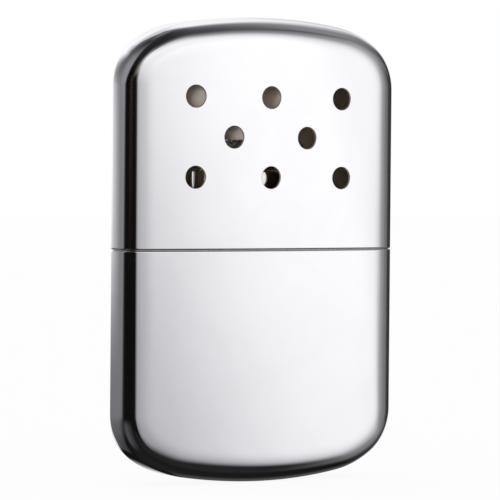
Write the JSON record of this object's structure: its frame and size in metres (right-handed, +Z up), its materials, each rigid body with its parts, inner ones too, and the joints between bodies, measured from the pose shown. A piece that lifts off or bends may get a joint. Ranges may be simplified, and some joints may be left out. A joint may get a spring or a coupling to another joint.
{
  "type": "catalytic hand warmer",
  "caption": "Flat rounded metal pocket warmer: a cotton-filled fuel tank, a press-on catalytic burner and a vented slip-on lid.",
  "frame": {"origin": "under the middle of the tank, level with its lowest point", "axes": "+Z up along the case from tank to lid, +X across the broad face to the right, -Y out of the vented front face"},
  "size_m": [0.0676, 0.014, 0.099],
  "materials": {
    "chrome_case": "polished",
    "nickel_inner": "satin",
    "burner_metal": "polished",
    "screen_wire": "dull",
    "cotton": "loose fibre",
    "felt": "pressed felt",
    "glass_fibre": "platinum-grey glass fibre"
  },
  "bodies": {
    "tank": {"tank_shell": "chrome_case", "tank_collar": "nickel_inner", "neck_plate": "nickel_inner", "cotton_lower": "cotton", "cotton_middle": "cotton", "cotton_upper": "cotton", "felt_wick": "felt"},
    "burner": {"burner_sleeve": "burner_metal", "burner_screen": "screen_wire", "catalyst_mat": "glass_fibre", "burner_cage": "burner_metal"},
    "lid": {"lid_shell": "chrome_case"}
  },
  "joints": [
    {"name": "lid_lift", "type": "slide", "parent": "tank", "child": "lid", "axis": [0, 0, 1], "range_m": [0, 0.06]},
    {"name": "burner_lift", "type": "slide", "parent": "tank", "child": "burner", "axis": [0, 0, 1], "range_m": [0, 0.012]}
  ]
}
